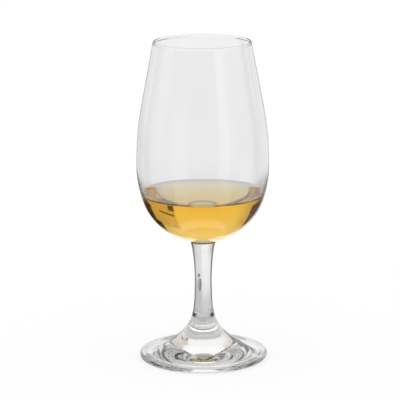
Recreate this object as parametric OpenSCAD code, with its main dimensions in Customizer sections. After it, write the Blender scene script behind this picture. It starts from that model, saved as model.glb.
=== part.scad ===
// Whisky nosing glass with a small measure of whisky in it.
// Bowl, stem and foot are turned about Z and welded end to end; the table is at z = 0.

/* [Bowl] */
// Height of the bowl, from its weld on the stem to the rim
bowl_h = 97.5; // [86:0.5:110]
// Outer diameter across the rim
rim_d = 47; // [42:0.1:54]
// Outer diameter at the widest level
belly_d = 63.8; // [59:0.1:69]
// How far the widest level stands out past the round bottom
belly_swell = 1.2; // [1:0.1:3]
// Height of the widest level above the centre of the round bottom
belly_rise = 7.4; // [5:0.1:14]
// Height above the widest level at which the taper's line leaves the upright
taper_run = 14.5; // [8:0.5:22]
// Radius of the fillet where the round bottom runs down to the weld
neck_fillet = 0.8; // [0.4:0.1:2]
// Wall thickness at the rim
rim_wall = 0.8; // [0.7:0.05:1.6]
// Wall thickness at the widest level
belly_wall = 1.1; // [0.8:0.05:2]
// Glass under the hollow, on the axis
base_wall = 2.8; // [1.8:0.1:4]

/* [Stem] */
// Length of the stem between its two welds
stem_len = 37.3; // [22:0.1:60]
// Diameter at the waist
waist_d = 8.2; // [7:0.1:9.8]
// Diameter at the weld under the bowl
neck_d = 12.2; // [11:0.1:16]
// Diameter at the weld on the foot
ankle_d = 11.1; // [10.2:0.1:14]
// Length over which the flare under the bowl dies away
neck_flare = 8.6; // [4:0.2:12]
// Length over which the flare above the foot dies away
ankle_flare = 6; // [3.6:0.2:9]

/* [Foot] */
// Diameter across the foot
foot_d = 62; // [54:0.5:72]
// Height of the foot, from the table to its weld
foot_h = 20.5; // [15:0.5:28]
// Thickness of the rounded edge
foot_edge = 2.8; // [2:0.1:4]
// Slope of the top face at the rounded edge, in degrees
edge_slope = 8; // [3:0.5:12]
// How far the flat of the edge reaches in before the top face sweeps up
edge_reach = 7; // [4:0.5:11]
// How far the line of the stem reaches down before the top face sweeps out
ankle_reach = 11.5; // [6:0.5:14]
// Width of the flat ring that the glass stands on
rest_w = 3; // [2:0.5:6]
// Depth of the hollow under the foot, at its middle
hollow_h = 1.6; // [0.6:0.1:3]

/* [Whisky] */
// Depth of the whisky at its middle
fill_h = 20.2; // [8:0.2:30]
// How far the whisky's edge climbs the glass
climb_h = 1.4; // [1:0.1:3]
// Length over which that climb dies away
climb_len = 1.2; // [1:0.1:2.6]

/* [Hidden] */
$fn = 180;
// Straight steps in one curve of a profile, and in the small fillet
curve_steps = 24;
fillet_steps = 8;
// Lengths of decay after which the whisky's climb counts as flat
climb_span = 5;

// Levels of the welds and of the rim
stem_z = foot_h;
bowl_z = stem_z + stem_len;
rim_z = bowl_z + bowl_h;

// Stem: its flares lean outwards where they end at the welds
waist_r = waist_d / 2;
neck_r = neck_d / 2;
ankle_r = ankle_d / 2;
stem_half = stem_len / 2;
function flare_lean(end_r, decay) = atan((end_r - waist_r) / (decay * (1 - exp(-stem_half / decay))));
neck_lean = flare_lean(neck_r, neck_flare);
ankle_lean = flare_lean(ankle_r, ankle_flare);

// Bowl, outside: the fillet carries on the line of the stem and touches the round bottom
belly_r = belly_d / 2;
base_r = belly_r - belly_swell;
fillet = [neck_r + neck_fillet * cos(neck_lean), bowl_z - neck_fillet * sin(neck_lean)];
fillet_reach = base_r + neck_fillet;
base_angle = -acos(fillet[0] / fillet_reach);
base_z = fillet[1] - fillet_reach * sin(base_angle);
belly_z = base_z + belly_rise;
lip_r = rim_wall / 2;
lip = [rim_d / 2 - lip_r, rim_z - lip_r];

// Bowl, inside
hollow_belly_r = belly_r - belly_wall;
hollow_base_r = base_r - belly_wall;
hollow_z = bowl_z + base_wall;
hollow_base_z = hollow_z + hollow_base_r;

// Foot: the top face leaves its weld on the slope that the stem arrives with
foot_r = foot_d / 2;
edge_r = foot_edge / 2;
rest_r = foot_r - edge_r;
rest_in_r = rest_r - rest_w;
underside_r = (rest_in_r * rest_in_r + hollow_h * hollow_h) / (2 * hollow_h);

// Whisky
fill_z = hollow_z + fill_h;
contact_z = fill_z + climb_h;

// Unit vector at an angle from the r axis
function heading(angle) = [cos(angle), sin(angle)];

// Points of an arc from one angle to another
function arc(centre, r, from, to, steps = curve_steps) =
    [for (i = [0 : steps]) centre + r * heading(from + (to - from) * i / steps)];

// Points of a cubic curve with two handles
function sweep(start, start_handle, end_handle, end) =
    [for (i = [0 : curve_steps])
        let (u = i / curve_steps, v = 1 - u)
            v * v * v * start + 3 * v * v * u * start_handle + 3 * v * u * u * end_handle + u * u * u * end];

// A curve's points without its last, for joining end to end
function but_last(points) = [for (i = [0 : len(points) - 2]) points[i]];

// A list of points the other way round
function turned(points) = [for (i = [len(points) - 1 : -1 : 0]) points[i]];

// Share of a flare that is left at a distance from its root, falling to none at the far end
function flare_share(distance, decay, far) =
    (exp(-distance / decay) - exp(-far / decay)) / (1 - exp(-far / decay));

// Tilt of the bowl's straight taper: its line runs from above the widest level to touch the lip.
// The lip's radius counts as negative on the inside of the wall.
function taper_angle(wall_belly_r, wall_lip_r) =
    let (reach = lip - [wall_belly_r, belly_z + taper_run])
        atan2(-reach[0], reach[1]) - asin(wall_lip_r / norm(reach));

// One side of the bowl's wall, from the bottom to the lip: a round bottom, a flank tangent to it
// that stands upright at the widest level, a shoulder, and the straight taper.
function bowl_side(wall_belly_r, wall_base_r, wall_base_z, start_angle, taper, wall_lip_r) =
    let (
        rise = belly_z - wall_base_z,
        swell = wall_belly_r - wall_base_r,
        flank_r = (wall_belly_r * wall_belly_r + rise * rise - wall_base_r * wall_base_r) / (2 * swell),
        join_angle = atan2(-rise, flank_r - wall_belly_r),
        shoulder_r = taper_run / tan(taper / 2)
    )
    concat(
        but_last(arc([0, wall_base_z], wall_base_r, start_angle, join_angle)),
        but_last(arc([wall_belly_r - flank_r, belly_z], flank_r, join_angle, 0)),
        arc([wall_belly_r - shoulder_r, belly_z], shoulder_r, 0, taper),
        [lip + wall_lip_r * heading(taper)]
    );

outer_taper = taper_angle(belly_r, lip_r);
inner_taper = taper_angle(hollow_belly_r, -lip_r);
outer_side = bowl_side(belly_r, base_r, base_z, base_angle, outer_taper, lip_r);
inner_side = bowl_side(hollow_belly_r, hollow_base_r, hollow_base_z, -90, inner_taper, -lip_r);

// Radius of the hollow at a height
function hollow_r(height) = lookup(height, [for (p = inner_side) [p[1], p[0]]]);

// A solid turned about Z from a closed profile of radii and heights
module turned_solid(profile) {
    rotate_extrude() polygon(profile);
}

module bowl() {
    neck = arc(fillet, neck_fillet, 180 - neck_lean, 180 + base_angle, fillet_steps);
    outside = concat([[0, bowl_z]], but_last(neck), but_last(outer_side));
    lip_outside = arc(lip, lip_r, outer_taper, 90);
    lip_inside = arc(lip, lip_r, 90, 180 + inner_taper);
    round_lip = concat(but_last(lip_outside), but_last(lip_inside));
    color([0.93, 0.95, 0.95, 0.35])
        turned_solid(concat(outside, round_lip, turned(inner_side)));
}

module stem() {
    ankle_flank = [for (i = [0 : curve_steps])
        let (s = stem_half * i / curve_steps)
            [waist_r + (ankle_r - waist_r) * flare_share(s, ankle_flare, stem_half), stem_z + s]];
    neck_flank = [for (i = [0 : curve_steps])
        let (s = stem_half * i / curve_steps)
            [waist_r + (neck_r - waist_r) * flare_share(s, neck_flare, stem_half), bowl_z - s]];
    color([0.9, 0.92, 0.92, 0.35])
        turned_solid(concat([[0, stem_z]], but_last(ankle_flank), turned(neck_flank), [[0, bowl_z]]));
}

module foot() {
    underside = arc([0, hollow_h - underside_r], underside_r, 90, acos(rest_in_r / underside_r));
    edge = arc([rest_r, edge_r], edge_r, -90, 90 - edge_slope);
    edge_top = edge[len(edge) - 1];
    ankle = [ankle_r, stem_z];
    top_face = sweep(
        edge_top,
        edge_top + edge_reach * heading(180 - edge_slope),
        ankle - ankle_reach * heading(90 + ankle_lean),
        ankle
    );
    color([0.88, 0.9, 0.9, 0.35])
        turned_solid(concat(underside, but_last(edge), top_face, [[0, stem_z]]));
}

module whisky() {
    contact_r = hollow_r(contact_z);
    climb_w = climb_span * climb_len;
    wetted = [for (p = inner_side) if (p[1] < contact_z) p];
    climb = [for (i = [0 : curve_steps])
        let (s = climb_w * i / curve_steps)
            [contact_r - s, fill_z + climb_h * flare_share(s, climb_len, climb_w)]];
    color([0.93, 0.68, 0.22, 0.85])
        turned_solid(concat(wetted, climb, [[0, fill_z]]));
}

bowl();
stem();
foot();
whisky();
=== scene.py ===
"""A whisky nosing glass with a small measure in it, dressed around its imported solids."""
import math

import bmesh
import bpy
from mathutils import Matrix, Vector


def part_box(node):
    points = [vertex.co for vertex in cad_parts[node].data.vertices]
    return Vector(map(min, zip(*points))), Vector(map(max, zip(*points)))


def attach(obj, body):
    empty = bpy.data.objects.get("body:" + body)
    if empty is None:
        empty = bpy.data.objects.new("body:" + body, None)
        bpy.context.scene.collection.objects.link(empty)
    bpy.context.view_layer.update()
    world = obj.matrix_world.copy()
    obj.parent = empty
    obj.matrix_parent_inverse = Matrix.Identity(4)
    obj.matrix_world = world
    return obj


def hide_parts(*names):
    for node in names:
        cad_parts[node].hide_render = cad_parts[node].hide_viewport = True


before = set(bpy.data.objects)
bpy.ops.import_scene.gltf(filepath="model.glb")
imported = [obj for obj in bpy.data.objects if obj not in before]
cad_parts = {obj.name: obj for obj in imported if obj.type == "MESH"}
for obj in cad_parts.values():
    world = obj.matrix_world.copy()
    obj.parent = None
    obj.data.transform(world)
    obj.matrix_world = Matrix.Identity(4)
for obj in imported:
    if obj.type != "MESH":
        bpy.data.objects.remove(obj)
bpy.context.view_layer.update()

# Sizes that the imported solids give, in metres

foot_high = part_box("foot")[1]
bowl_low, bowl_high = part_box("bowl")
whisky_low, whisky_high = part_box("whisky")
foot_r = foot_high.x
stem_z = foot_high.z
bowl_z = bowl_low.z
rim_z = bowl_high.z
belly_r = bowl_high.x
hollow_z = whisky_low.z
contact_z = whisky_high.z

# Sizes of the bowl

rim_r = 0.0235
belly_swell = 0.0012
belly_rise = 0.0074
taper_run = 0.0145
neck_fillet = 0.0008
rim_wall = 0.0008
belly_wall = 0.0011
# Height of the fire-polished lip
lip_h = 0.0012
# Heights over which the painted shade on the wall's edges fades in: under the rim, and about the contact
# line
lip_fade_h = 0.003
fade_below_contact = 0.003
fade_above_contact = 0.005

# Sizes of the stem

waist_r = 0.0041
neck_r = 0.0061
ankle_r = 0.00555
neck_flare = 0.0086
ankle_flare = 0.006
# Heights of the bands along the two welds, which carry painted shade
neck_band_h = 0.0004
ankle_band_h = 0.002
# Drawn-out bubbles beside the axis: middle, radius and half length
bubbles = (
    ((-0.0012, -0.0006, 0.0361), 0.0007, 0.0034),
    ((-0.0016, -0.0008, 0.0409), 0.0006, 0.0010),
)

# Sizes of the foot

edge_r = 0.0014
edge_slope = math.radians(8)
edge_reach = 0.007
ankle_reach = 0.0115
rest_w = 0.003
hollow_h = 0.0016
# Faint rings that the tool left on the swept-up middle
ring_height = 0.000012
ring_pitch = 0.0021
ring_low_z = 0.006

# Sizes of the whisky

climb_h = 0.0014
climb_len = 0.0012
climb_span = 5
# How far the wetted skin of the whisky lies inside the glass, so that light meets no air between them
wet_overlap = 0.00008

# Steps of the turned meshes, of a curve, of the neck's fillet, of the standing ring and of a bubble

turn_steps = 192
curve_steps = 40
neck_steps = 16
rest_steps = 4
bubble_turns = 32
bubble_steps = 24
# Steps that the neck's weld runs on past the fillet
weld_steps = 3
# Steps of one side of the bowl's wall, whose round bottom counts as two curves
side_steps = 5 * curve_steps
# Steps of the bowl's profile up to the top of its lip
lip_step = neck_steps + side_steps + curve_steps // 2
# Radius under which a point of a profile counts as on the axis
on_axis_r = 1e-9
# Angle between two faces from which their edge is sharp
sharp_angle = math.radians(35)

# Levels and radii that follow

stem_half = (bowl_z - stem_z) / 2


def flare_lean(end_r, decay):
    """Lean of the stem's side from the upright where a flare ends at its weld."""
    return math.atan((end_r - waist_r) / (decay * (1 - math.exp(-stem_half / decay))))


neck_lean = flare_lean(neck_r, neck_flare)
ankle_lean = flare_lean(ankle_r, ankle_flare)
base_r = belly_r - belly_swell
fillet_reach = base_r + neck_fillet
fillet_middle = Vector((
    neck_r + neck_fillet * math.cos(neck_lean), bowl_z - neck_fillet * math.sin(neck_lean)))
base_angle = -math.acos(fillet_middle.x / fillet_reach)
base_z = fillet_middle.y - fillet_reach * math.sin(base_angle)
belly_z = base_z + belly_rise
hollow_belly_r = belly_r - belly_wall
hollow_base_r = base_r - belly_wall
hollow_base_z = hollow_z + hollow_base_r
lip_r = rim_wall / 2
lip = Vector((rim_r - lip_r, rim_z - lip_r))
rest_r = foot_r - edge_r
rest_in_r = rest_r - rest_w
underside_r = (rest_in_r ** 2 + hollow_h ** 2) / (2 * hollow_h)
fill_z = contact_z - climb_h


# Profiles, as points of radius and height

def heading(angle):
    """Unit vector at an angle from the radius axis."""
    return Vector((math.cos(angle), math.sin(angle)))


def spread(first, last, steps=curve_steps):
    """Values from first to last in even steps."""
    return [first + (last - first) * i / steps for i in range(steps + 1)]


def arc(centre, radius, first, last, steps=curve_steps):
    """Points of an arc from one angle to another."""
    return [Vector(centre) + radius * heading(angle) for angle in spread(first, last, steps)]


def straight(first, last, steps=curve_steps):
    """Points of a straight run."""
    return [first.lerp(last, share) for share in spread(0, 1, steps)]


def sweep(first, first_handle, last_handle, last, steps=2 * curve_steps):
    """Points of a cubic curve with two handles."""
    points = []
    for u in spread(0, 1, steps):
        v = 1 - u
        points.append(
            v ** 3 * first + 3 * v * v * u * first_handle
            + 3 * v * u * u * last_handle + u ** 3 * last)
    return points


def joined(*runs):
    """Runs of points end to end, without the points that two runs share."""
    points = list(runs[0])
    for run in runs[1:]:
        points += run[1:]
    return points


def flare_share(distance, decay, far):
    """Share of a flare that is left at a distance from its root, falling to none at the far end."""
    rest = math.exp(-far / decay)
    return (math.exp(-distance / decay) - rest) / (1 - rest)


def taper_angle(wall_belly_r, wall_lip_r):
    """Tilt of the bowl's straight taper, which touches the lip; the lip's radius is negative inside."""
    reach = lip - Vector((wall_belly_r, belly_z + taper_run))
    return math.atan2(-reach.x, reach.y) - math.asin(wall_lip_r / reach.length)


def bowl_side(wall_belly_r, wall_base_r, wall_base_z, first_angle, taper, wall_lip_r):
    """One side of the bowl's wall, from the bottom to the lip."""
    rise = belly_z - wall_base_z
    swell = wall_belly_r - wall_base_r
    flank_r = (wall_belly_r ** 2 + rise ** 2 - wall_base_r ** 2) / (2 * swell)
    join_angle = math.atan2(-rise, flank_r - wall_belly_r)
    shoulder_r = taper_run / math.tan(taper / 2)
    shoulder = arc((wall_belly_r - shoulder_r, belly_z), shoulder_r, 0, taper)
    return joined(
        arc((0, wall_base_z), wall_base_r, first_angle, join_angle, 2 * curve_steps),
        arc((wall_belly_r - flank_r, belly_z), flank_r, join_angle, 0),
        shoulder,
        straight(shoulder[-1], lip + wall_lip_r * heading(taper)),
    )


outer_taper = taper_angle(belly_r, lip_r)
inner_taper = taper_angle(hollow_belly_r, -lip_r)
inner_side = bowl_side(
    hollow_belly_r, hollow_base_r, hollow_base_z, math.radians(-90), inner_taper, -lip_r)


def bowl_profile():
    """The bowl's skin from the edge of its weld over the lip to the middle of the hollow."""
    neck = arc(fillet_middle, neck_fillet, math.pi - neck_lean, math.pi + base_angle, neck_steps)
    outer_side = bowl_side(belly_r, base_r, base_z, base_angle, outer_taper, lip_r)
    round_lip = arc(lip, lip_r, outer_taper, math.pi + inner_taper)
    return joined(neck, outer_side, round_lip, inner_side[::-1])


def stem_profile():
    """The stem's skin from the edge of the lower weld to the edge of the upper one."""
    lower = []
    upper = []
    for run in spread(0, stem_half):
        ankle_share = flare_share(run, ankle_flare, stem_half)
        neck_share = flare_share(run, neck_flare, stem_half)
        lower.append(Vector((waist_r + (ankle_r - waist_r) * ankle_share, stem_z + run)))
        upper.append(Vector((waist_r + (neck_r - waist_r) * neck_share, bowl_z - run)))
    return joined(lower, upper[::-1])


def ringed(face):
    """The foot's top face with faint rings along its steep middle."""
    run = 0.0
    points = []
    for before, point, after in zip([face[0]] + face, face, face[1:] + [face[-1]]):
        run += (point - before).length
        along = (after - before).normalized()
        outward = Vector((along.y, -along.x))
        rise = (point.y - ring_low_z) / (stem_z - ring_low_z)
        share = max(0.0, 4 * rise * (1 - rise))
        points.append(point + share * ring_height * math.sin(math.tau * run / ring_pitch) * outward)
    return points


def foot_profile():
    """The foot's skin from the middle of its hollow underside round the edge and up to its weld."""
    underside = arc(
        (0, hollow_h - underside_r), underside_r, math.pi / 2, math.acos(rest_in_r / underside_r))
    rest_ring = straight(underside[-1], Vector((rest_r, 0)), rest_steps)
    edge = arc((rest_r, edge_r), edge_r, -math.pi / 2, math.pi / 2 - edge_slope)
    ankle = Vector((ankle_r, stem_z))
    top_face = sweep(
        edge[-1],
        edge[-1] + edge_reach * heading(math.pi - edge_slope),
        ankle - ankle_reach * heading(math.pi / 2 + ankle_lean),
        ankle,
    )
    return joined(underside, rest_ring, edge, ringed(top_face))


def whisky_profile():
    """The whisky's skin from its lowest point up the glass, over its climbing edge and in to the middle."""
    below = [point for point in inner_side if point.y < contact_z]
    above = inner_side[len(below)]
    share = (contact_z - below[-1].y) / (above.y - below[-1].y)
    wetted = below + [below[-1].lerp(above, share)]
    contact_r = wetted[-1].x
    climb_w = climb_span * climb_len
    climb = []
    for run in spread(0, climb_w):
        height = climb_h * flare_share(run, climb_len, climb_w)
        climb.append(Vector((contact_r - run, fill_z + height)))
    middle = straight(climb[-1], Vector((0, fill_z)))
    centre = Vector((0, hollow_base_z))
    pushed = [point + wet_overlap * (point - centre).normalized() for point in wetted]
    pushed[0].x = 0
    return pushed + climb + middle[1:]


# Turned meshes

def turned_piece(name, profile, finishes, welds=(), finish_at=None):
    """A closed mesh turned about Z, whose finishes are materials by name.

    The welds are the ends of the profile, first or last, that get a flat cap in the finish melt.
    The rest gets the first finish, or the one that finish_at names for the number of a step and its middle.
    """
    slots = list(finishes)
    mesh = bpy.data.meshes.new(name)
    shape = bmesh.new()
    turns = [math.tau * i / turn_steps for i in range(turn_steps)]
    rings = []
    for point in profile:
        if point.x < on_axis_r:
            rings.append([shape.verts.new((0, 0, point.y))])
        else:
            rings.append([
                shape.verts.new((point.x * math.cos(turn), point.x * math.sin(turn), point.y))
                for turn in turns
            ])
    for k, (low, high) in enumerate(zip(rings, rings[1:])):
        finish = finish_at(k, (profile[k] + profile[k + 1]) / 2) if finish_at else slots[0]
        for i in range(turn_steps):
            j = (i + 1) % turn_steps
            if len(low) == 1:
                corners = (low[0], high[j], high[i])
            elif len(high) == 1:
                corners = (low[i], low[j], high[0])
            else:
                corners = (low[i], low[j], high[j], high[i])
            face = shape.faces.new(corners)
            face.material_index = slots.index(finish)
    for end in welds:
        cap = shape.faces.new(rings[0 if end == "first" else -1])
        cap.material_index = slots.index("melt")
    bmesh.ops.recalc_face_normals(shape, faces=shape.faces)
    for face in shape.faces:
        face.smooth = True
    shape.to_mesh(mesh)
    shape.free()
    mesh.set_sharp_from_angle(angle=sharp_angle)
    for finish in finishes.values():
        mesh.materials.append(finish)
    piece = bpy.data.objects.new(name, mesh)
    bpy.context.scene.collection.objects.link(piece)
    return piece


def bowl_finish(step, middle):
    """Wetted inside below the contact line, the lip's finish at the top, the weld's dark line of painted
    shade around the neck.
    """
    if step >= lip_step and middle.y <= contact_z:
        return "wetted"
    if middle.y > rim_z - lip_h:
        return "lip"
    return "neck_weld" if step < neck_steps + weld_steps else "blown"


def stem_finish(step, middle):
    """The neck weld's dark line of painted shade along the upper end, the ankle weld's band with its
    painted shade along the lower one.
    """
    if middle.y > bowl_z - neck_band_h:
        return "neck_weld"
    return "ankle_weld" if middle.y < stem_z + ankle_band_h else "drawn"


def blow_bubbles(stem, skin_slot):
    """Closed, drawn-out voids in the stem."""
    shape = bmesh.new()
    shape.from_mesh(stem.data)
    for middle, radius, half_len in bubbles:
        place = Matrix.Translation(middle) @ Matrix.Diagonal((radius, radius, half_len, 1))
        made = bmesh.ops.create_uvsphere(
            shape, u_segments=bubble_turns, v_segments=bubble_steps, radius=1, matrix=place)
        skin = {face for corner in made["verts"] for face in corner.link_faces}
        for face in skin:
            face.smooth = True
            face.material_index = skin_slot
        bmesh.ops.reverse_faces(shape, faces=list(skin))
    shape.to_mesh(stem.data)
    shape.free()


# Finishes

glass_ior = 1.5
lip_ior = 1.11
whisky_ior = 1.36
# Colour that the whisky leaves in light, and how strongly it does so along a metre
whisky_colour = (0.981, 0.795, 0.008)
whisky_depth = 62.5
# Light that each skin lets through; the neck weld's dark colour is painted shade
clear_tint = 0.995
neck_weld_painted_shade = (0.14, 0.11, 0.07)
drawn_tint = 0.965
pressed_tint = (0.93, 0.93, 0.92)
whisky_tint = 1.0
# Painted shade where a skin is seen edge on: the colour that the light it lets through is darkened to there
blown_painted_shade = (0.68, 0.67, 0.65)
drawn_painted_shade = (0.2, 0.19, 0.17)
ankle_weld_painted_shade = 0.01
bubble_painted_shade = (0.06, 0.052, 0.042)
pressed_painted_shade = (0.32, 0.32, 0.31)
# How far a skin is turned away where its painted edge shade starts and where it is full, from 0 square on
# to 1 edge on
blown_span = (0.6, 1.05)
drawn_span = (0.34, 0.6)
ankle_weld_span = (0.1, 0.34)
bubble_span = (0.0, 0.14)
pressed_span = (0.78, 1.0)
# Share of its mirror shine that a skin keeps
wetted_shine = 0.0
neck_weld_shine = 0.25
# Ripples of worked glass: stretch along X, Y and Z, waves per metre, and height in metres
blown_ripple = ((1, 1, 0.4), 45, 0.00001)
drawn_ripple = ((1, 1, 0.15), 180, 0.00001)
weld_ripple = ((1, 1, 1), 180, 0.00001)
pressed_ripple = ((1, 1, 1), 70, 0.00002)
still_skin = ((1, 1, 1), 100, 0.0)


def rgba(tone):
    """A grey level or a colour as the four numbers that a socket takes."""
    return (tone, tone, tone, 1) if isinstance(tone, (int, float)) else (*tone, 1)


def add_node(tree, kind, inputs=(), **settings):
    """A new node with its settings and the values of its inputs."""
    made = tree.nodes.new(kind)
    for key, value in settings.items():
        setattr(made, key, value)
    for key, value in dict(inputs).items():
        made.inputs[key].default_value = value
    return made


def smooth_step(tree, value, first, last):
    """A socket that goes softly from 0 to 1 as a value goes from first to last."""
    ends = {"From Min": first, "From Max": last}
    step = add_node(tree, "ShaderNodeMapRange", ends, interpolation_type="SMOOTHSTEP")
    tree.links.new(value, step.inputs["Value"])
    return step.outputs["Result"]


def product(tree, first, second):
    """A socket with the product of two others."""
    times = add_node(tree, "ShaderNodeMath", operation="MULTIPLY")
    tree.links.new(first, times.inputs[0])
    tree.links.new(second, times.inputs[1])
    return times.outputs["Value"]


def blend(tree, first, second, share):
    """A socket that goes from one colour to another, each a tuple or a socket, as a share goes to 1."""
    mix = add_node(tree, "ShaderNodeMix", data_type="RGBA")
    for key, colour in (("A", first), ("B", second)):
        if isinstance(colour, tuple):
            mix.inputs[key].default_value = colour
        else:
            tree.links.new(colour, mix.inputs[key])
    tree.links.new(share, mix.inputs["Factor"])
    return mix.outputs["Result"]


def glass_ripple_group():
    """Faint unevenness of worked glass: a ripple for bumps and a haze for roughness."""
    tree = bpy.data.node_groups.new("glass_ripple", "ShaderNodeTree")
    stretch = tree.interface.new_socket("Stretch", in_out="INPUT", socket_type="NodeSocketVector")
    stretch.default_value = (1, 1, 1)
    size = tree.interface.new_socket("Waves per metre", in_out="INPUT", socket_type="NodeSocketFloat")
    size.default_value = 100
    tree.interface.new_socket("Ripple", in_out="OUTPUT", socket_type="NodeSocketFloat")
    tree.interface.new_socket("Haze", in_out="OUTPUT", socket_type="NodeSocketFloat")
    given = tree.nodes.new("NodeGroupInput")
    result = tree.nodes.new("NodeGroupOutput")
    place = tree.nodes.new("ShaderNodeTexCoord")
    drawn = add_node(tree, "ShaderNodeVectorMath", operation="MULTIPLY")
    waves = add_node(tree, "ShaderNodeTexNoise", {"Detail": 1.0, "Roughness": 0.4})
    film = add_node(tree, "ShaderNodeTexNoise", {"Scale": 60.0, "Detail": 4.0, "Roughness": 0.6})
    haze = add_node(
        tree, "ShaderNodeMapRange", {"From Min": 0.45, "From Max": 0.8, "To Min": 0.0, "To Max": 0.012})
    tree.links.new(place.outputs["Object"], drawn.inputs[0])
    tree.links.new(given.outputs["Stretch"], drawn.inputs[1])
    tree.links.new(drawn.outputs["Vector"], waves.inputs["Vector"])
    tree.links.new(given.outputs["Waves per metre"], waves.inputs["Scale"])
    tree.links.new(waves.outputs["Fac"], result.inputs["Ripple"])
    tree.links.new(place.outputs["Object"], film.inputs["Vector"])
    tree.links.new(film.outputs["Fac"], haze.inputs["Value"])
    tree.links.new(haze.outputs["Result"], result.inputs["Haze"])
    return tree


def glass_material(name, ripple_group, ripple, tint=clear_tint, ior=glass_ior):
    """Clear glass whose skin is a little uneven."""
    stretch, waves_per_metre, ripple_h = ripple
    material = bpy.data.materials.new(name)
    material.use_nodes = True
    tree = material.node_tree
    shader = tree.nodes["Principled BSDF"]
    shader.inputs["Base Color"].default_value = rgba(tint)
    shader.inputs["Transmission Weight"].default_value = 1
    shader.inputs["Metallic"].default_value = 0
    shader.inputs["IOR"].default_value = ior
    skin = add_node(tree, "ShaderNodeGroup", node_tree=ripple_group)
    skin.inputs["Stretch"].default_value = stretch
    skin.inputs["Waves per metre"].default_value = waves_per_metre
    bump = add_node(tree, "ShaderNodeBump", {"Strength": 1.0, "Distance": ripple_h})
    tree.links.new(skin.outputs["Ripple"], bump.inputs["Height"])
    tree.links.new(bump.outputs["Normal"], shader.inputs["Normal"])
    tree.links.new(skin.outputs["Haze"], shader.inputs["Roughness"])
    return material


def keep_shine(material, share):
    """Leaves a glass a share of its mirror shine."""
    shader = material.node_tree.nodes["Principled BSDF"]
    shader.inputs["Specular Tint"].default_value = rgba(share)


def height_above_table(tree):
    """A socket with the height of the point that is shaded."""
    place = tree.nodes.new("ShaderNodeTexCoord")
    parts = tree.nodes.new("ShaderNodeSeparateXYZ")
    tree.links.new(place.outputs["Object"], parts.inputs["Vector"])
    return parts.outputs["Z"]


def paint_edge_shade(material, edge, span, fades=(), outside_only=False):
    """Paints shade into a glass's colour where it is seen edge on.

    Each fade is the height with none of that painted shade and the height with all of it. With
    outside_only, light that has met glass before goes without.
    """
    tree = material.node_tree
    shader = tree.nodes["Principled BSDF"]
    facing = add_node(tree, "ShaderNodeLayerWeight", {"Blend": 0.5})
    amount = smooth_step(tree, facing.outputs["Facing"], *span)
    for none_at, full_at in fades:
        amount = product(tree, amount, smooth_step(tree, height_above_table(tree), none_at, full_at))
    if outside_only:
        rays = tree.nodes.new("ShaderNodeLightPath")
        amount = product(tree, amount, rays.outputs["Is Camera Ray"])
    tint = tuple(shader.inputs["Base Color"].default_value)
    tree.links.new(blend(tree, tint, rgba(edge), amount), shader.inputs["Base Color"])


def melted_glass():
    """The melted-through inside of a weld, where glass runs on into glass."""
    material = bpy.data.materials.new("fused_glass")
    material.use_nodes = True
    tree = material.node_tree
    tree.nodes.remove(tree.nodes["Principled BSDF"])
    clear = add_node(tree, "ShaderNodeBsdfTransparent", {"Color": (1, 1, 1, 1)})
    tree.links.new(clear.outputs["BSDF"], tree.nodes["Material Output"].inputs["Surface"])
    return material


def blown_glass(ripple_group):
    """The bowl's wall, with painted shade on its edges between the whisky and the lip."""
    material = glass_material("blown_glass", ripple_group, blown_ripple)
    dry_fade = (contact_z - fade_below_contact, contact_z + fade_above_contact)
    lip_fade = (rim_z, rim_z - lip_fade_h)
    paint_edge_shade(material, blown_painted_shade, blown_span, (dry_fade, lip_fade))
    return material


def wetted_glass(ripple_group):
    """The bowl's inside under the whisky, which takes its shine."""
    material = glass_material("wetted_glass", ripple_group, still_skin)
    keep_shine(material, wetted_shine)
    return material


def lip_glass(ripple_group):
    """The fire-polished lip, which bends light only a little."""
    return glass_material("lip_glass", ripple_group, still_skin, ior=lip_ior)


def neck_weld_shaded_glass(ripple_group):
    """A dark line of painted shade around the weld of bowl and stem."""
    material = glass_material("neck_weld_shaded_glass", ripple_group, weld_ripple, neck_weld_painted_shade)
    keep_shine(material, neck_weld_shine)
    return material


def drawn_glass(ripple_group):
    """The stem's side, with painted shade on its edges as seen from outside."""
    material = glass_material("drawn_glass", ripple_group, drawn_ripple, drawn_tint)
    paint_edge_shade(material, drawn_painted_shade, drawn_span, outside_only=True)
    return material


def ankle_weld_glass(ripple_group):
    """The band above the foot's weld, with painted shade at its corners where it is seen edge on."""
    material = glass_material("ankle_weld_glass", ripple_group, weld_ripple)
    paint_edge_shade(material, ankle_weld_painted_shade, ankle_weld_span)
    return material


def bubble_skin(ripple_group):
    """The skin of a bubble, with painted shade except where it is seen square on."""
    material = glass_material("bubble_skin", ripple_group, still_skin)
    paint_edge_shade(material, bubble_painted_shade, bubble_span)
    return material


def pressed_glass(ripple_group):
    """The foot's skin, with painted shade on its edges."""
    material = glass_material("pressed_glass", ripple_group, pressed_ripple, pressed_tint)
    paint_edge_shade(material, pressed_painted_shade, pressed_span)
    return material


def amber_whisky(ripple_group):
    """Amber spirit: clear at its skin, coloured by depth."""
    material = glass_material("amber_whisky", ripple_group, still_skin, whisky_tint, whisky_ior)
    tree = material.node_tree
    depth = add_node(
        tree, "ShaderNodeVolumeAbsorption", {"Color": rgba(whisky_colour), "Density": whisky_depth})
    tree.links.new(depth.outputs["Volume"], tree.nodes["Material Output"].inputs["Volume"])
    return material


# Studio

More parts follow.
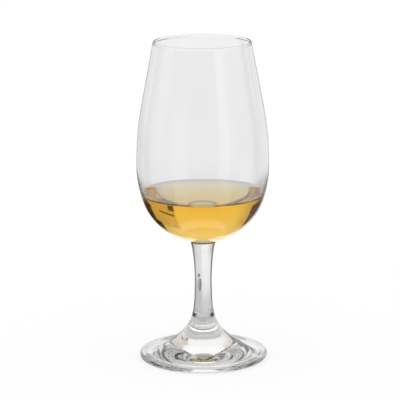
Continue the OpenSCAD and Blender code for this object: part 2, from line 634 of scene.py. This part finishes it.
# Cards around the glass that only its reflections and refractions show: azimuth from straight behind
# the glass towards +X, half width, lowest and highest elevation, softness of the edge, all in degrees,
# and brightness or colour. A later card covers an earlier one.
# Cards for light that comes through the glass
seen_through = {
    "front_room": (180, 85, 8, 66, 5, 0.08),
    "under_floor": (0, 190, -90, 6, 6, 0.5),
    "front_floor": (180, 62, -41, -20, 7, 0.5),
    "floor": (0, 105, -90, -24, 3, 0.6),
    "side_floor": (0, 46, -26, 6, 6, 0.66),
    "wide_backdrop": (-1, 44, -5, 44, 4, (0.74, 0.67, 0.59)),
    "backdrop_foot": (-1, 44, -18, -5, 3, 0.885),
    "backdrop": (-2, 21, -5, 46, 10, 1.03),
    "right_panel": (28.5, 13, -2, 20, 0.8, (0.74, 0.66, 0.58)),
    "upper_backdrop": (0, 34, 23, 45, 3, 1.1),
    "right_floor": (27, 21, -15, 0.5, 1, 0.76),
    "right_low_floor": (27, 21, -34, -15, 2, 0.56),
    "stem_shade": (-64, 9.5, -24, -5, 2, (0.2, 0.13, 0.08)),
    "left_window": (-92, 13, -10, 32, 5, 0.85),
    "back_window": (135, 15, -28, 34, 5, 0.8),
    "lamp_post": (17.8, 1.9, 1.6, 5, 0.5, 0.08),
    "lamp_arm": (22.7, 6.2, 7.4, 8.8, 0.4, 0.12),
    "right_flag": (67, 27, 7, 31, 2, 0.03),
    "right_flag_top": (67, 33.5, 21, 31, 1, 0.03),
    "left_flag": (-50, 15.2, 7, 27, 1.5, 0.03),
    "front_left_flag": (-130, 13, 7, 31, 2, 0.03),
    "front_flag": (185, 13, 7, 31, 2, 0.03),
}
# Cards for light that the first skin mirrors
mirrored = {
    "backdrop": (0, 60, -4, 45, 3, 1.1),
    "right_backdrop": (32, 30, -16, -4, 3, 0.64),
    "front_floor": (180, 62, -41, -20, 7, 1.3),
    "dark_floor": (180, 100, -66, -42, 3, 0.2),
    "left_shade": (-77, 49, -52, -20, 2, 0.03),
    "right_shade": (77, 49, -52, -21.5, 2, 0.2),
    "lit_floor": (2.5, 17.5, -68, -20, 5, 1.7),
    "left_edge_shade": (-50, 31, -38, -20, 2, 0.03),
    "left_rim_shade": (-15.5, 5, -29, -18, 1.5, 0.03),
    "under_glass": (0, 200, -90, -66, 6, 1.5),
    "right_window": (45, 20, -14, 14, 6, 1.25),
    "softbox": (142, 9, -30, 45, 3, 1.28),
}
# Brightness between the cards of each kind, and of the room that the eye and the floor see
seen_through_level = 0.4
mirrored_level = 0.5
room_level = 1.0
# Least width of a card's edge, which keeps its two ends apart at the nadir and all the way round
least_edge = 1e-4
# Floor: radius, steps round it, the grey of its paper and its glow
floor_r = 3.0
floor_steps = 96
floor_grey = 0.3
floor_glow = 0.71


def sine(degrees):
    """Sine of an angle in degrees, which is the height of a direction at that elevation."""
    return math.sin(math.radians(degrees))


def cosine(degrees):
    """Cosine of an angle in degrees."""
    return math.cos(math.radians(degrees))


def card_mask(tree, level_direction, height, azimuth, half_width, lowest, highest, softness):
    """A socket that is 1 towards a card and 0 away from it."""
    towards = add_node(tree, "ShaderNodeVectorMath", operation="DOT_PRODUCT")
    towards.inputs[1].default_value = (sine(azimuth), cosine(azimuth), 0)
    tree.links.new(level_direction, towards.inputs[0])
    far = cosine(min(half_width + softness, 180))
    near = cosine(min(half_width - softness, 180))
    across = smooth_step(tree, towards.outputs["Value"], far - least_edge, near)
    bottom_low = sine(max(lowest - softness, -90))
    bottom_high = sine(max(lowest + softness, -90))
    bottom = smooth_step(tree, height, bottom_low - least_edge, bottom_high)
    top = smooth_step(tree, height, sine(highest + softness), sine(highest - softness))
    return product(tree, product(tree, across, bottom), top)


def light_studio():
    """A pale dome with cards."""
    world = bpy.data.worlds.new("studio")
    bpy.context.scene.world = world
    world.use_nodes = True
    tree = world.node_tree
    place = tree.nodes.new("ShaderNodeTexCoord")
    parts = tree.nodes.new("ShaderNodeSeparateXYZ")
    tree.links.new(place.outputs["Generated"], parts.inputs["Vector"])
    flat = add_node(tree, "ShaderNodeVectorMath", operation="MULTIPLY")
    flat.inputs[1].default_value = (1, 1, 0)
    tree.links.new(place.outputs["Generated"], flat.inputs[0])
    level_direction = add_node(tree, "ShaderNodeVectorMath", operation="NORMALIZE")
    tree.links.new(flat.outputs["Vector"], level_direction.inputs[0])

    def lit(level, cards):
        light = rgba(level)
        for *edges, brightness in cards.values():
            mask = card_mask(tree, level_direction.outputs["Vector"], parts.outputs["Z"], *edges)
            light = blend(tree, light, rgba(brightness), mask)
        return light

    rays = tree.nodes.new("ShaderNodeLightPath")
    through = lit(seen_through_level, seen_through)
    in_mirror = lit(mirrored_level, mirrored)
    glass_light = blend(tree, through, in_mirror, rays.outputs["Is Reflection Ray"])
    on_glass = add_node(tree, "ShaderNodeMath", operation="MAXIMUM")
    tree.links.new(rays.outputs["Is Glossy Ray"], on_glass.inputs[0])
    tree.links.new(rays.outputs["Is Transmission Ray"], on_glass.inputs[1])
    dome = blend(tree, rgba(room_level), glass_light, on_glass.outputs["Value"])
    tree.links.new(dome, tree.nodes["Background"].inputs["Color"])


def lay_floor():
    """A pale floor that keeps the shadow and that the glass doesn't mirror."""
    mesh = bpy.data.meshes.new("floor")
    shape = bmesh.new()
    bmesh.ops.create_circle(shape, cap_ends=True, radius=floor_r, segments=floor_steps)
    shape.to_mesh(mesh)
    shape.free()
    floor = bpy.data.objects.new("floor", mesh)
    bpy.context.scene.collection.objects.link(floor)
    material = bpy.data.materials.new("pale_floor")
    material.use_nodes = True
    tree = material.node_tree
    tree.nodes.remove(tree.nodes["Principled BSDF"])
    paper = add_node(tree, "ShaderNodeBsdfDiffuse", {"Color": rgba(floor_grey)})
    glow = add_node(tree, "ShaderNodeEmission", {"Color": (1, 1, 1, 1), "Strength": floor_glow})
    both = tree.nodes.new("ShaderNodeAddShader")
    tree.links.new(paper.outputs["BSDF"], both.inputs[0])
    tree.links.new(glow.outputs["Emission"], both.inputs[1])
    tree.links.new(both.outputs["Shader"], tree.nodes["Material Output"].inputs["Surface"])
    mesh.materials.append(material)
    floor.visible_glossy = False
    floor.visible_transmission = False


# Camera

camera_place = Vector((0, -0.9826, 0.30363))
camera_target = Vector((0, 0, 0.07767))
camera_roll = math.radians(-0.25)
# Lens and sensor in millimetres
camera_lens = 188.14
sensor_w = 36
# How far the target lies off the middle of the picture, and the picture's width, in pixels
aim_offset_px = Vector((2.9, 0.75))
frame_px = 400
# Nearest and farthest distance that the camera shows
clip_near = 0.01
clip_far = 20


def set_camera():
    """A long lens in front of the glass and a little above it."""
    data = bpy.data.cameras.new("camera")
    data.lens = camera_lens
    data.sensor_width = sensor_w
    data.shift_x = -aim_offset_px.x / frame_px
    data.shift_y = aim_offset_px.y / frame_px
    data.clip_start = clip_near
    data.clip_end = clip_far
    camera = bpy.data.objects.new("camera", data)
    bpy.context.scene.collection.objects.link(camera)
    aim = (camera_target - camera_place).to_track_quat("-Z", "Y").to_matrix().to_4x4()
    camera.matrix_world = Matrix.Translation(camera_place) @ aim @ Matrix.Rotation(camera_roll, 4, "Z")
    bpy.context.scene.camera = camera


# Pieces

def glass_bowl(ripple_group, melt, neck_weld):
    """The blown bowl, with its lip and its weld on the stem."""
    finishes = {
        "blown": blown_glass(ripple_group),
        "melt": melt,
        "wetted": wetted_glass(ripple_group),
        "neck_weld": neck_weld,
        "lip": lip_glass(ripple_group),
    }
    return turned_piece("glass_bowl", bowl_profile(), finishes, ["first"], bowl_finish)


def glass_stem(ripple_group, melt, neck_weld):
    """The drawn stem, with its bubbles and its two welds."""
    finishes = {
        "drawn": drawn_glass(ripple_group),
        "melt": melt,
        "neck_weld": neck_weld,
        "ankle_weld": ankle_weld_glass(ripple_group),
        "bubble": bubble_skin(ripple_group),
    }
    stem = turned_piece("glass_stem", stem_profile(), finishes, ["first", "last"], stem_finish)
    blow_bubbles(stem, list(finishes).index("bubble"))
    return stem


def glass_foot(ripple_group, melt):
    """The pressed foot, with its weld under the stem."""
    finishes = {"pressed": pressed_glass(ripple_group), "melt": melt}
    return turned_piece("glass_foot", foot_profile(), finishes, ["last"])


def whisky_measure(ripple_group):
    """The whisky in the bowl."""
    return turned_piece("whisky_measure", whisky_profile(), {"amber": amber_whisky(ripple_group)})


def build():
    """All pieces, each on the one body and in place of its solid."""
    ripple_group = glass_ripple_group()
    melt = melted_glass()
    neck_weld = neck_weld_shaded_glass(ripple_group)
    pieces = {
        "bowl": (glass_bowl(ripple_group, melt, neck_weld), "clear_glass"),
        "stem": (glass_stem(ripple_group, melt, neck_weld), "clear_glass"),
        "foot": (glass_foot(ripple_group, melt), "clear_glass"),
        "whisky": (whisky_measure(ripple_group), "amber_whisky"),
    }
    for cad_node, (piece, slot) in pieces.items():
        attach(piece, "root")
        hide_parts(cad_node)


# Times that light may meet glass, and that it may be mirrored, before it is lost
light_bounces = 40
mirror_bounces = 24

scene = bpy.context.scene
scene.view_settings.view_transform = "Standard"
scene.cycles.max_bounces = light_bounces
scene.cycles.transmission_bounces = light_bounces
scene.cycles.transparent_max_bounces = light_bounces
scene.cycles.glossy_bounces = mirror_bounces

set_camera()
light_studio()
lay_floor()
build()
